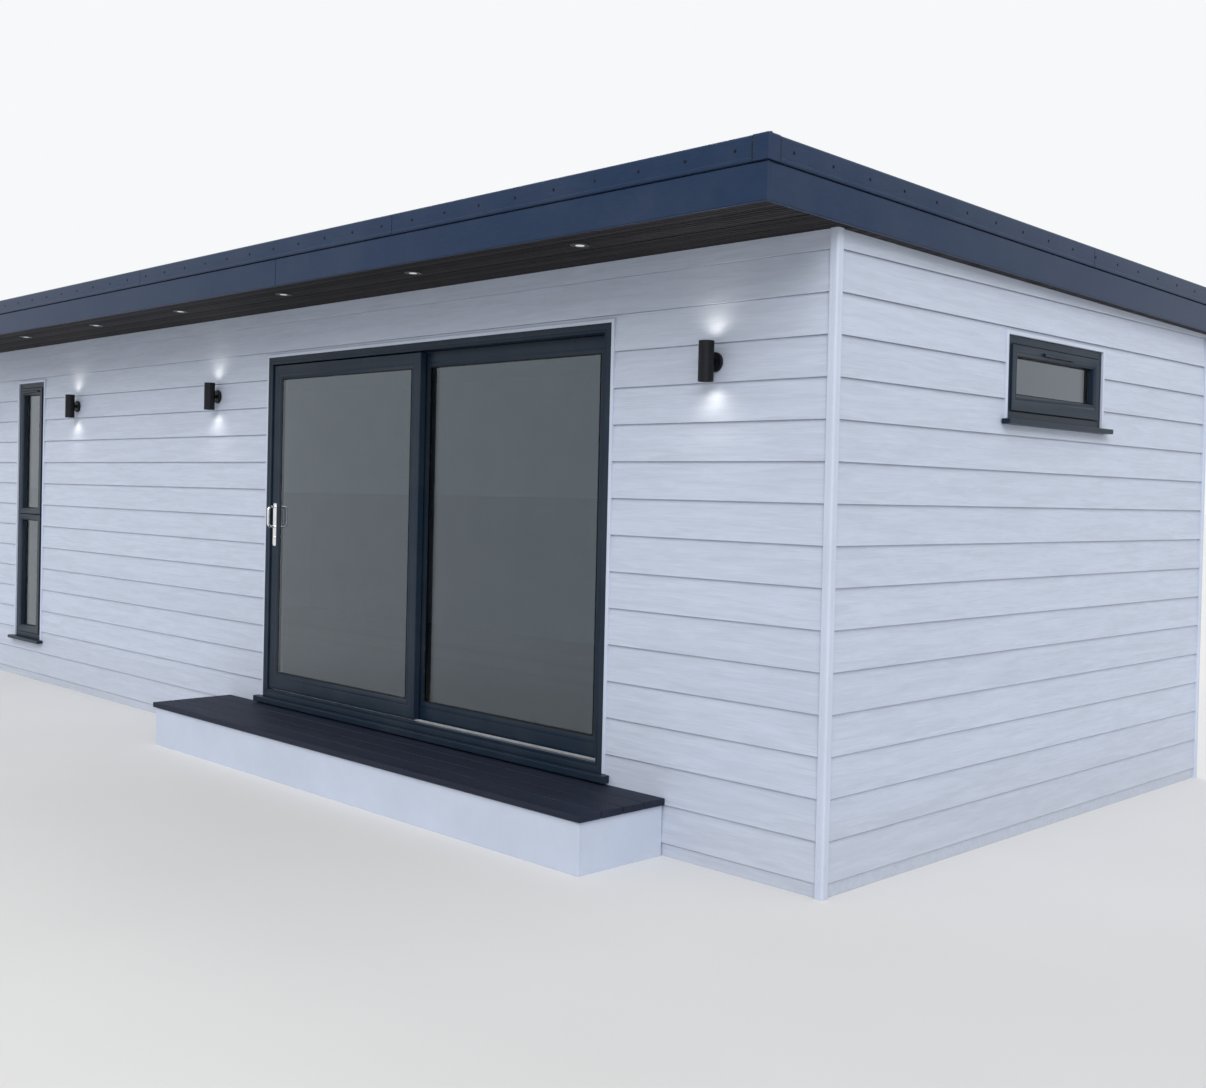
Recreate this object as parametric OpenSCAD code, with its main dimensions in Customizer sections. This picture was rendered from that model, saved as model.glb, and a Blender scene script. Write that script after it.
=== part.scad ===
// Garden office pod: a long timber-framed cabin with white lap cladding, a flat roof that
// reaches out over the front, a sliding patio door, two windows and a low deck step.
// The origin is the centre of the outline on the ground. X runs to the right along the
// front, Y runs into the building and Z is up. All sizes are in millimetres.

/* [Building] */
// Length of the building over its cladding
length = 9500; // [8900:50:12000]
// Depth of the building over its cladding
depth = 3750; // [3000:50:5000]
// Height of the underside of the roof edge at the front above the door's head
over_door = 295; // [230:5:500]
// Height of the finished floor above the ground
floor_z = 320; // [300:5:340]
// Thickness of the floor deck
floor_t = 50; // [22:1:80]
// Thickness of the timber wall behind the cladding
wall_core = 120; // [110:5:200]
// Thickness of the cladding with its battens
clad_t = 30; // [20:1:34]
// Height of the base strip under the lowest board
base_strip_h = 60; // [40:5:100]
// Setback of the base strip behind the face of the cladding
base_strip_set = 8; // [2:1:15]
// Width of the timbers of the base
bearer_w = 90; // [60:5:120]
// Width of a floor joist
joist_w = 47; // [38:1:75]
// Number of floor joists
joist_count = 9; // [6:1:16]
// Height of the joists' underside above the ground
joist_lift = 70; // [40:5:120]

/* [Trims] */
// Width of a corner trim on each wall
corner_leg = 35; // [35:1:90]
// How far a corner trim stands out of the cladding
corner_proud = 6; // [3:1:10]
// Width of the white trim round an opening
trim_w = 18; // [10:1:30]
// How far the trim round an opening stands out of the cladding
trim_proud = 4; // [2:1:8]

/* [Roof] */
// Overhang of the roof at the front
front_over = 545; // [535:5:800]
// Overhang of the roof at the sides and the back
side_over = 70; // [50:5:120]
// Fall of the roof between the front and the back of the walls
roof_fall = 60; // [30:5:120]
// Height of the fascia board
fascia_h = 145; // [120:5:200]
// Thickness of the fascia board
fascia_t = 18; // [12:1:25]
// Setback of the fascia board behind the face of the roof edge trim
fascia_set = 6; // [3:1:10]
// Height of the roof edge from the top of the fascia board
edge_h = 108; // [80:2:150]
// Dark gap between the fascia board and the roof edge trim
shadow_gap = 4; // [2:1:8]
// How far the roof edge trim stands above the roof covering
edge_lip = 20; // [10:1:40]
// Thickness of the roof covering
membrane_t = 5; // [2:0.5:8]
// Thickness of the soffit boards and the ceiling
soffit_t = 15; // [10:1:20]
// Leg of the cover on each corner of the roof edge
cover_leg = 70; // [50:5:120]
// Thickness of the cover on each corner of the roof edge
cover_t = 3; // [2:1:5]

/* [Downlights] */
// Number of downlights in the front soffit
downlight_count = 7; // [3:1:7]
// Distance between downlights
downlight_pitch = 1210; // [800:10:1300]
// Distance from the cladding to the downlights
downlight_out = 350; // [200:10:400]
// Outer diameter of a downlight
downlight_d = 90; // [60:1:120]
// Thickness of a downlight's rim
downlight_rim = 3; // [2:1:5]
// Width of a downlight's rim
downlight_flange = 12; // [8:1:16]

/* [Sliding door] */
// Width of the door frame
door_w = 3000; // [2600:10:3400]
// Height of the door frame
door_h = 2100; // [2000:10:2200]
// Distance from the right end of the building to the door frame
door_from_end = 1260; // [900:10:1600]
// Depth of the door frame's foot below the finished floor
door_drop = 15; // [5:1:25]
// Width of the door frame's face
frame_face = 45; // [35:1:60]
// Depth of the door frame
frame_depth = 110; // [105:1:130]
// How far the door frame stands out of the cladding
frame_proud = 6; // [2:1:10]
// Setback of the sliding sash behind the face of the door frame
sash_in = 12; // [6:1:12]
// Thickness of a door sash
sash_t = 40; // [36:1:42]
// Gap between the sliding sash and the fixed sash
sash_gap = 10; // [6:1:12]
// Overlap of the two sashes in the middle of the door
interlock = 70; // [50:1:85]
// Width of a sash's stiles and top rail
stile_w = 85; // [70:1:110]
// Height of a sash's bottom rail
bottom_rail = 105; // [80:1:130]
// Thickness of a sealed glass unit
glass_t = 24; // [20:1:28]
// Running clearance round the sliding sash
run_clear = 6; // [5:0.5:8]
// Width of the track rail
track_w = 8; // [6:1:10]
// Height of the track rail
track_h = 12; // [10:1:16]
// Length of a roller under the sliding sash
roller_l = 70; // [40:5:100]
// Gap between a roller and the track rail
roller_gap = 0.3; // [0.2:0.1:0.5]

/* [Door handle] */
// Height of the foot of the handle plate above the ground
plate_z = 1240; // [1000:10:1400]
// Height of the handle plate
plate_h = 266; // [220:2:300]
// Width of the handle plate
plate_w = 35; // [28:1:45]
// Thickness of the handle plate
plate_t = 8; // [5:1:12]
// Height of the pull
pull_h = 140; // [110:2:160]
// Thickness of the pull
pull_d = 16; // [12:1:20]
// How far the pull stands out of the plate
pull_out = 52; // [40:1:60]
// Distance from the top of the plate to the pull
pull_drop = 14; // [5:1:30]

/* [Windows] */
// Width of the narrow front window
narrow_w = 500; // [400:10:700]
// Height of the narrow window's foot above the foot of the door frame
narrow_foot = 25; // [10:5:500]
// Distance from the left end of the building to the narrow window
narrow_from_end = 1324; // [1000:2:1600]
// Height of the narrow window's transom above its foot
narrow_transom = 1008; // [600:2:1100]
// Width of the small window in the right wall
small_w = 990; // [700:10:1300]
// Height of the small window
small_h = 400; // [350:5:700]
// Width of the frame and sash beside the glass
pane_face = 98; // [80:1:110]
// Depth of a window frame
window_depth = 70; // [60:1:80]
// Setback of a window frame behind the cladding
window_set = 8; // [4:1:15]
// How far the sash stands out of its frame
sash_proud = 8; // [4:1:12]
// Width of the frame left showing round a sash
window_frame_face = 42; // [30:1:50]
// Length of a trickle vent
vent_l = 300; // [200:10:380]
// Height of a trickle vent
vent_h = 18; // [12:1:24]
// How far a trickle vent stands out of its sash
vent_out = 12; // [8:1:18]
// Height of a window cill
cill_h = 25; // [20:1:35]
// How far a cill stands out of the cladding
cill_out = 45; // [30:1:60]
// How far a cill runs past its opening
cill_horn = 50; // [35:1:70]

/* [Step] */
// Length of the step's deck
step_l = 3800; // [3000:20:4200]
// Depth of the step's deck
step_depth = 530; // [350:10:530]
// Height of the top of the step above the ground
step_z = 260; // [200:5:265]
// Thickness of the step's deck
deck_t = 30; // [22:1:40]
// Setback of the step's sides under the deck
step_set = 15; // [8:1:30]
// Thickness of the step's sides
riser_t = 20; // [15:1:30]
// Number of bearers inside the step
step_bearers = 4; // [3:1:8]

/* [Wall lights] */
// Height of the middle of a wall light above the ground
lamp_z = 2187; // [1800:5:2250]
// Distance from an opening to the wall lights beside it
lamp_gap = 635; // [450:5:700]
// Height of a wall light
lamp_h = 175; // [120:5:250]
// Diameter of a wall light
lamp_d = 68; // [50:1:90]
// Diameter of a wall light's wall plate
lamp_plate_d = 86; // [70:1:110]
// Thickness of a wall light's wall plate
lamp_plate_t = 12; // [8:1:20]
// Length of the neck between the wall plate and the lamp
lamp_neck = 15; // [8:1:25]
// Depth of the recess in each end of a wall light
lamp_recess = 12; // [6:1:20]
// Thickness of a wall light's shell
lamp_shell = 4; // [2:1:6]

/* [Hidden] */
$fn = 48;

// Joint between neighbouring boards of one kind
joint_gap = 0.5;
// Gap kept under a sloping face, so that rounded corners never overlap
slope_gap = 0.1;
// Clearance of a downlight in its hole
downlight_clear = 1;
// Length by which a cutter passes a face
over = 1;

// Faces of the walls, from the outside to the inside
end_x = length / 2;
front_y = front_over - (front_over + depth + side_over) / 2;
back_y = front_y + depth;
core_x = end_x - clad_t;
core_front_y = front_y + clad_t;
core_back_y = back_y - clad_t;
room_x = core_x - wall_core;
room_front_y = core_front_y + wall_core;
room_back_y = core_back_y - wall_core;

// Faces of the roof edge
roof_x = end_x + side_over;
roof_front_y = front_y - front_over;
roof_back_y = back_y + side_over;
edge_t = fascia_set + fascia_t;
panel_x = roof_x - edge_t;
panel_front_y = roof_front_y + edge_t;
panel_back_y = roof_back_y - edge_t;
fall_rate = roof_fall / depth;
roof_tilt = atan(fall_rate);

// Levels and places of the openings
base_top = floor_z - floor_t;
door_z = floor_z - door_drop;
door_x = end_x - door_from_end - door_w;
door_cill_h = door_z - base_top;
head_z = door_z + door_h;
narrow_x = narrow_from_end - end_x;
narrow_z = door_z + narrow_foot;
narrow_h = door_h - narrow_foot;
small_y = front_y + (depth - small_w) / 2;
small_z = head_z - small_h;

// Levels at the front edge of the roof
eaves_z = head_z + over_door;
ceiling_top = eaves_z + soffit_t;
edge_low = eaves_z + fascia_h + shadow_gap;
edge_top = eaves_z + fascia_h + edge_h;
membrane_top = edge_top - edge_lip;
panel_top = membrane_top - membrane_t;

// Sashes of the door, measured from the outer left foot of its frame
slide_y = sash_in - frame_proud;
fixed_y = slide_y + sash_t + sash_gap;
slide_x = frame_face + run_clear;
slide_z = frame_face + run_clear;
slide_end_x = (door_w + interlock) / 2;
fixed_x = (door_w - interlock) / 2;
fixed_end_x = door_w - frame_face;
plate_x = slide_x + (stile_w - plate_w) / 2;

// How far the roof has dropped at a place between its front and its back
function drop(y) = fall_rate * (y - roof_front_y);

module block(from, to) {
    translate(from)
        cube(to - from);
}

// A slab that follows the fall of the roof, between two levels given at its front edge
module fall_slab(x0, x1, y0, y1, low, high) {
    translate([x0, 0, 0])
        rotate([90, 0, 90])
            linear_extrude(x1 - x0)
                polygon([
                    [y0, low - drop(y0)],
                    [y1, low - drop(y1)],
                    [y1, high - drop(y1)],
                    [y0, high - drop(y0)]
                ]);
}

// A wall with a level foot and a top just under a face that follows the fall of the roof
module wall_slab(x0, x1, y0, y1, foot, top) {
    translate([x0, 0, 0])
        rotate([90, 0, 90])
            linear_extrude(x1 - x0)
                polygon([
                    [y0, foot],
                    [y1, foot],
                    [y1, top - slope_gap - drop(y1)],
                    [y0, top - slope_gap - drop(y0)]
                ]);
}

// Places whose X runs along an opening, Y into the wall from the cladding and Z up
module at_door() {
    translate([door_x, front_y, door_z])
        children();
}

module at_narrow_window() {
    translate([narrow_x, front_y, narrow_z])
        children();
}

module at_small_window() {
    translate([end_x, small_y, small_z])
        rotate([0, 0, 90])
            children();
}

// The hole in the timber wall for a window
module core_hole(w, h) {
    block([0, 0, 0], [w, clad_t + wall_core + over, h]);
}

// The hole in the cladding for a window or door with its trim and its cill
module cladding_hole(w, h, sill_h) {
    block([-trim_w, -over, -sill_h], [w + trim_w, clad_t + over, h + trim_w]);
}

// The white trim over and beside an opening
module opening_trim(w, h) {
    difference() {
        block([-trim_w, -trim_proud, 0], [w + trim_w, clad_t, h + trim_w]);
        block([0, -trim_proud - over, -over], [w, clad_t + over, h]);
    }
}

// A cill with horns in front of the cladding; its back reaches to the depth given
module cill(w, h, back) {
    translate([0, 0, -h])
        linear_extrude(h)
            union() {
                translate([-cill_horn, -cill_out])
                    square([w + 2 * cill_horn, cill_out]);
                translate([-trim_w, 0])
                    square([w + 2 * trim_w, clad_t]);
                square([w, back]);
            }
}

// A window frame with its sashes; panes lists the foot and the head of each glass
module window_frame(w, h, panes) {
    difference() {
        union() {
            block([0, window_set, 0], [w, window_set + window_depth, h]);
            block(
                [window_frame_face, window_set - sash_proud, window_frame_face],
                [w - window_frame_face, window_set, h - window_frame_face]
            );
            translate([(w - vent_l) / 2, window_set - sash_proud - vent_out, h - pane_face + vent_h])
                cube([vent_l, vent_out, vent_h]);
        }
        for (pane = panes)
            block(
                [pane_face, window_set - sash_proud - over, pane[0]],
                [w - pane_face, window_set + window_depth + over, pane[1]]
            );
    }
}

module window_glass(w, panes) {
    glass_y = window_set + (window_depth - glass_t) / 2;
    for (pane = panes)
        block([pane_face, glass_y, pane[0]], [w - pane_face, glass_y + glass_t, pane[1]]);
}

narrow_panes = [
    [pane_face, narrow_transom - pane_face / 2],
    [narrow_transom + pane_face / 2, narrow_h - pane_face]
];
small_panes = [[pane_face + cill_h, small_h - pane_face]];

// A ring of stiles and rails round a door's glass
module sash_ring(x0, x1, y0, z0, z1) {
    difference() {
        block([x0, y0, z0], [x1, y0 + sash_t, z1]);
        block(
            [x0 + stile_w, y0 - over, z0 + bottom_rail],
            [x1 - stile_w, y0 + sash_t + over, z1 - stile_w]
        );
    }
}

module sash_glass(x0, x1, y0, z0, z1) {
    glass_y = y0 + (sash_t - glass_t) / 2;
    block(
        [x0 + stile_w, glass_y, z0 + bottom_rail],
        [x1 - stile_w, glass_y + glass_t, z1 - stile_w]
    );
}

// The plate and the pull on the outer face of the sliding sash
module handle() {
    foot = plate_z - door_z;
    pull_x = plate_x + plate_w / 2;
    pull_top = foot + plate_h - pull_drop - pull_d / 2;
    pull_low = pull_top - pull_h + pull_d;
    grip_y = slide_y - plate_t - pull_out + pull_d / 2;
    block([plate_x, slide_y - plate_t, foot], [plate_x + plate_w, slide_y, foot + plate_h]);
    for (z = [pull_low, pull_top]) {
        translate([pull_x, grip_y, z])
            rotate([-90, 0, 0])
                cylinder(h = slide_y - plate_t - grip_y, d = pull_d);
        translate([pull_x, grip_y, z])
            sphere(d = pull_d);
    }
    translate([pull_x, grip_y, pull_low])
        cylinder(h = pull_top - pull_low, d = pull_d);
}

// One corner trim, for the corner at the origin with the building towards +X and +Y
module corner_post(top) {
    linear_extrude(top)
        polygon([
            [-corner_proud, -corner_proud],
            [corner_leg, -corner_proud],
            [corner_leg, clad_t],
            [clad_t, clad_t],
            [clad_t, corner_leg],
            [-corner_proud, corner_leg]
        ]);
}

// One cover for a corner of the roof edge, with the roof towards +X and +Y
module corner_cover(low, high) {
    translate([0, 0, low])
        linear_extrude(high - low)
            polygon([
                [-cover_t, -cover_t],
                [cover_leg, -cover_t],
                [cover_leg, 0],
                [0, 0],
                [0, cover_leg],
                [-cover_t, cover_leg]
            ]);
}

// A wall light on the cladding, with its wall plate, its neck and its lamp
module wall_light() {
    lamp_y = -lamp_plate_t - lamp_neck - lamp_d / 2;
    rotate([90, 0, 0])
        cylinder(h = lamp_plate_t, d = lamp_plate_d);
    rotate([90, 0, 0])
        cylinder(h = -lamp_y, d = lamp_d / 3);
    translate([0, lamp_y, -lamp_h / 2])
        difference() {
            cylinder(h = lamp_h, d = lamp_d);
            translate([0, 0, -over])
                cylinder(h = lamp_recess + over, d = lamp_d - 2 * lamp_shell);
            translate([0, 0, lamp_h - lamp_recess])
                cylinder(h = lamp_recess + over, d = lamp_d - 2 * lamp_shell);
        }
}

// Places of the downlights on the sloping soffit, with Z square to it
module at_downlights() {
    y = front_y - downlight_out;
    for (i = [0 : downlight_count - 1])
        translate([(i - (downlight_count - 1) / 2) * downlight_pitch, y, eaves_z - drop(y)])
            rotate([-roof_tilt, 0, 0])
                children();
}

module base_bearers() {
    color("burlywood") {
        block([-core_x, core_front_y, 0], [core_x, core_front_y + bearer_w, base_top]);
        block([-core_x, core_back_y - bearer_w, 0], [core_x, core_back_y, base_top]);
        for (side = [-1, 1])
            translate([side * (core_x - bearer_w / 2) - bearer_w / 2, core_front_y + bearer_w + joint_gap, 0])
                cube([bearer_w, core_back_y - core_front_y - 2 * (bearer_w + joint_gap), base_top]);
    }
}

module floor_joists() {
    pitch = 2 * (core_x - bearer_w) / (joist_count + 1);
    color("burlywood")
        for (i = [1 : joist_count])
            translate([bearer_w - core_x + i * pitch - joist_w / 2, core_front_y + bearer_w, joist_lift])
                cube([joist_w, core_back_y - core_front_y - 2 * bearer_w, base_top - joist_lift]);
}

module floor_deck() {
    color("tan")
        block([-room_x, room_front_y, base_top], [room_x, room_back_y, floor_z]);
}

module front_wall_left() {
    color("wheat")
        difference() {
            wall_slab(-core_x, door_x, core_front_y, room_front_y, base_top, ceiling_top);
            at_narrow_window()
                core_hole(narrow_w, narrow_h);
        }
}

module front_wall_right() {
    color("wheat")
        wall_slab(door_x + door_w, core_x, core_front_y, room_front_y, base_top, ceiling_top);
}

module front_wall_over_door() {
    color("wheat")
        wall_slab(door_x, door_x + door_w, core_front_y, room_front_y, head_z, ceiling_top);
}

module right_wall() {
    color("wheat")
        difference() {
            wall_slab(room_x, core_x, room_front_y, room_back_y, base_top, ceiling_top);
            at_small_window()
                core_hole(small_w, small_h);
        }
}

module left_wall() {
    color("wheat")
        wall_slab(-core_x, -room_x, room_front_y, room_back_y, base_top, ceiling_top);
}

module back_wall() {
    color("wheat")
        wall_slab(-core_x, core_x, room_back_y, core_back_y, base_top, ceiling_top);
}

module front_cladding() {
    wide = end_x - corner_leg;
    color("ghostwhite")
        difference() {
            wall_slab(-wide, wide, front_y, core_front_y, base_strip_h, eaves_z);
            at_door()
                cladding_hole(door_w, door_h, door_cill_h);
            at_narrow_window()
                cladding_hole(narrow_w, narrow_h, cill_h);
        }
}

module right_cladding() {
    color("ghostwhite")
        difference() {
            wall_slab(core_x, end_x, front_y + corner_leg, back_y - corner_leg, base_strip_h, eaves_z);
            at_small_window()
                cladding_hole(small_w, small_h, cill_h);
        }
}

module left_cladding() {
    color("ghostwhite")
        wall_slab(-end_x, -core_x, front_y + corner_leg, back_y - corner_leg, base_strip_h, eaves_z);
}

module back_cladding() {
    wide = end_x - corner_leg;
    color("ghostwhite")
        wall_slab(-wide, wide, core_back_y, back_y, base_strip_h, eaves_z);
}

module base_trim() {
    wide = end_x - corner_leg;
    strip_x = end_x - base_strip_set;
    color("gainsboro") {
        block([-wide, front_y + base_strip_set, 0], [wide, core_front_y, base_strip_h]);
        block([-wide, core_back_y, 0], [wide, back_y - base_strip_set, base_strip_h]);
        block([core_x, front_y + corner_leg, 0], [strip_x, back_y - corner_leg, base_strip_h]);
        block([-strip_x, front_y + corner_leg, 0], [-core_x, back_y - corner_leg, base_strip_h]);
    }
}

module corner_trims() {
    front_top = eaves_z - drop(front_y + corner_leg);
    back_top = eaves_z - drop(back_y + corner_proud);
    color("white")
        for (side = [0, 1])
            mirror([side, 0, 0]) {
                translate([-end_x, front_y, 0])
                    corner_post(front_top);
                translate([-end_x, back_y, 0])
                    mirror([0, 1, 0])
                        corner_post(back_top);
            }
}

module opening_trims() {
    color("white") {
        at_door()
            opening_trim(door_w, door_h);
        at_narrow_window()
            opening_trim(narrow_w, narrow_h);
        at_small_window()
            opening_trim(small_w, small_h);
    }
}

module ceiling() {
    color("white")
        fall_slab(-room_x, room_x, room_front_y, room_back_y, eaves_z, ceiling_top);
}

module roof_panel() {
    color("wheat")
        fall_slab(-panel_x, panel_x, panel_front_y, panel_back_y, ceiling_top + slope_gap, panel_top);
}

module roof_membrane() {
    color("dimgray")
        fall_slab(-panel_x, panel_x, panel_front_y, panel_back_y, panel_top, membrane_top);
}

// Four boards round the roof, set back from its face; the side boards fit between the others
module roof_ring(set, low, high) {
    long_x = roof_x - set;
    side_front_y = panel_front_y + joint_gap;
    side_back_y = panel_back_y - joint_gap;
    fall_slab(-long_x, long_x, roof_front_y + set, panel_front_y, low, high);
    fall_slab(-long_x, long_x, panel_back_y, roof_back_y - set, low, high);
    fall_slab(panel_x, long_x, side_front_y, side_back_y, low, high);
    fall_slab(-long_x, -panel_x, side_front_y, side_back_y, low, high);
}

module fascia_boards() {
    color([0.16, 0.2, 0.28])
        roof_ring(fascia_set, eaves_z, eaves_z + fascia_h);
}

module roof_edge_trims() {
    color([0.16, 0.2, 0.28])
        roof_ring(0, edge_low, edge_top);
}

module roof_corner_covers() {
    back_drop = drop(roof_back_y);
    color([0.14, 0.17, 0.24])
        for (side = [0, 1])
            mirror([side, 0, 0]) {
                translate([-roof_x, roof_front_y, 0])
                    corner_cover(edge_low, edge_top - drop(roof_front_y + cover_leg));
                translate([-roof_x, roof_back_y, 0])
                    mirror([0, 1, 0])
                        corner_cover(edge_low - back_drop, edge_top - back_drop);
            }
}

module front_soffit() {
    color([0.2, 0.22, 0.26])
        difference() {
            fall_slab(-panel_x, panel_x, panel_front_y, core_front_y, eaves_z, ceiling_top);
            at_downlights()
                translate([0, 0, -soffit_t])
                    cylinder(h = 3 * soffit_t, d = downlight_d - 2 * downlight_flange + 2 * downlight_clear);
        }
}

module side_soffits() {
    side_front_y = core_front_y + joint_gap;
    side_back_y = core_back_y - joint_gap;
    color([0.2, 0.22, 0.26]) {
        fall_slab(core_x, panel_x, side_front_y, side_back_y, eaves_z, ceiling_top);
        fall_slab(-panel_x, -core_x, side_front_y, side_back_y, eaves_z, ceiling_top);
        fall_slab(-panel_x, panel_x, core_back_y, panel_back_y, eaves_z, ceiling_top);
    }
}

module downlights() {
    rim_gap = downlight_clear / 10;
    color("silver")
        at_downlights() {
            translate([0, 0, -downlight_rim])
                cylinder(h = downlight_rim - rim_gap, d = downlight_d);
            translate([0, 0, -downlight_rim])
                cylinder(h = downlight_rim + soffit_t - downlight_clear, d = downlight_d - 2 * downlight_flange);
        }
}

module door_frame() {
    color([0.13, 0.17, 0.22])
        at_door()
            difference() {
                block([0, -frame_proud, 0], [door_w, frame_depth - frame_proud, door_h]);
                block(
                    [frame_face, -frame_proud - over, frame_face],
                    [door_w - frame_face, frame_depth, door_h - frame_face]
                );
            }
}

module door_cill() {
    color([0.13, 0.17, 0.22])
        at_door()
            cill(door_w, door_cill_h, frame_depth - frame_proud);
}

module door_track() {
    rail_y = slide_y + (sash_t - track_w) / 2;
    color("silver")
        at_door()
            block([frame_face, rail_y, frame_face], [fixed_end_x, rail_y + track_w, frame_face + track_h]);
}

module fixed_door_sash() {
    color([0.13, 0.17, 0.22])
        at_door()
            sash_ring(fixed_x, fixed_end_x, fixed_y, frame_face, door_h - frame_face);
}

module fixed_door_glass() {
    color([0.5, 0.6, 0.65, 0.5])
        at_door()
            sash_glass(fixed_x, fixed_end_x, fixed_y, frame_face, door_h - frame_face);
}

module sliding_door_sash() {
    top = door_h - slide_z;
    groove_w = track_w + 2 * run_clear;
    mid_y = slide_y + sash_t / 2;
    color([0.13, 0.17, 0.22])
        at_door() {
            difference() {
                sash_ring(slide_x, slide_end_x, slide_y, slide_z, top);
                block(
                    [slide_x - over, mid_y - groove_w / 2, slide_z - over],
                    [slide_end_x + over, mid_y + groove_w / 2, slide_z + track_h]
                );
            }
            for (x = [slide_x + stile_w, slide_end_x - stile_w - roller_l])
                block(
                    [x, mid_y - track_w / 2, frame_face + track_h + roller_gap],
                    [x + roller_l, mid_y + track_w / 2, slide_z + track_h]
                );
        }
}

module sliding_door_glass() {
    color([0.5, 0.6, 0.65, 0.5])
        at_door()
            sash_glass(slide_x, slide_end_x, slide_y, slide_z, door_h - slide_z);
}

module outer_handle() {
    color("silver")
        at_door()
            handle();
}

module inner_handle() {
    color("silver")
        at_door()
            translate([0, 2 * slide_y + sash_t, 0])
                mirror([0, 1, 0])
                    handle();
}

module narrow_window_frame() {
    color([0.13, 0.17, 0.22])
        at_narrow_window()
            window_frame(narrow_w, narrow_h, narrow_panes);
}

module narrow_window_glass() {
    color([0.5, 0.6, 0.65, 0.5])
        at_narrow_window()
            window_glass(narrow_w, narrow_panes);
}

module narrow_window_cill() {
    color([0.13, 0.17, 0.22])
        at_narrow_window()
            cill(narrow_w, cill_h, clad_t);
}

module small_window_frame() {
    color([0.13, 0.17, 0.22])
        at_small_window()
            window_frame(small_w, small_h, small_panes);
}

module small_window_glass() {
    color([0.5, 0.6, 0.65, 0.5])
        at_small_window()
            window_glass(small_w, small_panes);
}

module small_window_cill() {
    color([0.13, 0.17, 0.22])
        at_small_window()
            cill(small_w, cill_h, clad_t);
}

module step_frame() {
    mid_x = door_x + door_w / 2;
    half = step_l / 2 - step_set;
    riser_y = front_y - step_depth + step_set;
    top = step_z - deck_t;
    pitch = (2 * half - riser_t) / (step_bearers + 1);
    color("white") {
        block([mid_x - half, riser_y, 0], [mid_x + half, riser_y + riser_t, top]);
        for (i = [0 : step_bearers + 1])
            translate([mid_x - half + i * pitch, riser_y + riser_t + joint_gap, 0])
                cube([riser_t, step_depth - step_set - riser_t - joint_gap, top]);
    }
}

module step_deck() {
    mid_x = door_x + door_w / 2;
    color([0.2, 0.21, 0.24])
        block(
            [mid_x - step_l / 2, front_y - step_depth, step_z - deck_t],
            [mid_x + step_l / 2, front_y, step_z]
        );
}

module wall_lights() {
    places = [
        door_x + door_w + lamp_gap,
        door_x - lamp_gap,
        narrow_x + narrow_w + lamp_gap,
        narrow_x - lamp_gap
    ];
    color([0.08, 0.08, 0.09])
        for (x = places)
            translate([x, front_y, lamp_z])
                wall_light();
}

base_bearers();
floor_joists();
floor_deck();
front_wall_left();
front_wall_right();
front_wall_over_door();
right_wall();
left_wall();
back_wall();
front_cladding();
right_cladding();
left_cladding();
back_cladding();
base_trim();
corner_trims();
opening_trims();
ceiling();
roof_panel();
roof_membrane();
fascia_boards();
roof_edge_trims();
roof_corner_covers();
front_soffit();
side_soffits();
downlights();
door_frame();
door_cill();
door_track();
fixed_door_sash();
fixed_door_glass();
sliding_door_sash();
sliding_door_glass();
outer_handle();
inner_handle();
narrow_window_frame();
narrow_window_glass();
narrow_window_cill();
small_window_frame();
small_window_glass();
small_window_cill();
step_frame();
step_deck();
wall_lights();
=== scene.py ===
"""Looks of the garden office pod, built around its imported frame. Lengths are in metres."""

import math

import bmesh
import bpy
from mathutils import Matrix, Vector


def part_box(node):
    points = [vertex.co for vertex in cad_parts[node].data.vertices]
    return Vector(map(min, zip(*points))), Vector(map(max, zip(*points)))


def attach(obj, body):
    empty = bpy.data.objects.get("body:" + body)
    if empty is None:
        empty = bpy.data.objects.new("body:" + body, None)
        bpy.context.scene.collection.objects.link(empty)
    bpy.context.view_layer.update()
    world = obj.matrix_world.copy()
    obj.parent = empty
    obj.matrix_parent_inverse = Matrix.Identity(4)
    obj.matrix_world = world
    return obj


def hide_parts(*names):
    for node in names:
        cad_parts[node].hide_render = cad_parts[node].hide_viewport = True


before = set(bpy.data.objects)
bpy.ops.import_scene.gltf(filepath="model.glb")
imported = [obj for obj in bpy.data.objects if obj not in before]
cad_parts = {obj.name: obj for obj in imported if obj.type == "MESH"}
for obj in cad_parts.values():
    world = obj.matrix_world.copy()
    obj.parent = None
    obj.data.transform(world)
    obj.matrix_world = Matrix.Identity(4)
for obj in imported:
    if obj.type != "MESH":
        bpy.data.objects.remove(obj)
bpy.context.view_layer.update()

# Faces of the walls, read from the frame
FRONT_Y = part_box("front_cladding")[0].y
CORE_FRONT_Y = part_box("front_cladding")[1].y
BACK_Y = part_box("back_cladding")[1].y
CORE_BACK_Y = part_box("back_cladding")[0].y
END_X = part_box("right_cladding")[1].x
CORE_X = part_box("right_cladding")[0].x
CLAD_T = END_X - CORE_X
STRIP_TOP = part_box("base_trim")[1].z
CORNER_LEG = END_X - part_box("front_cladding")[1].x
CORNER_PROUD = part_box("corner_trims")[1].x - END_X

# Roof, placed by the frame. It falls ROOF_FALL over ROOF_RUN from front to back.
ROOF_FALL, ROOF_RUN = 0.060, 3.750
FALL_RATE = ROOF_FALL / ROOF_RUN
EDGE_LOW, EDGE_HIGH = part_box("roof_edge_trims")
PANEL_LOW, PANEL_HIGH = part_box("roof_panel")
ROOF_FRONT_Y = EDGE_LOW.y
EAVES_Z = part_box("front_soffit")[0].z + FALL_RATE * (CORE_FRONT_Y - ROOF_FRONT_Y)

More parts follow.
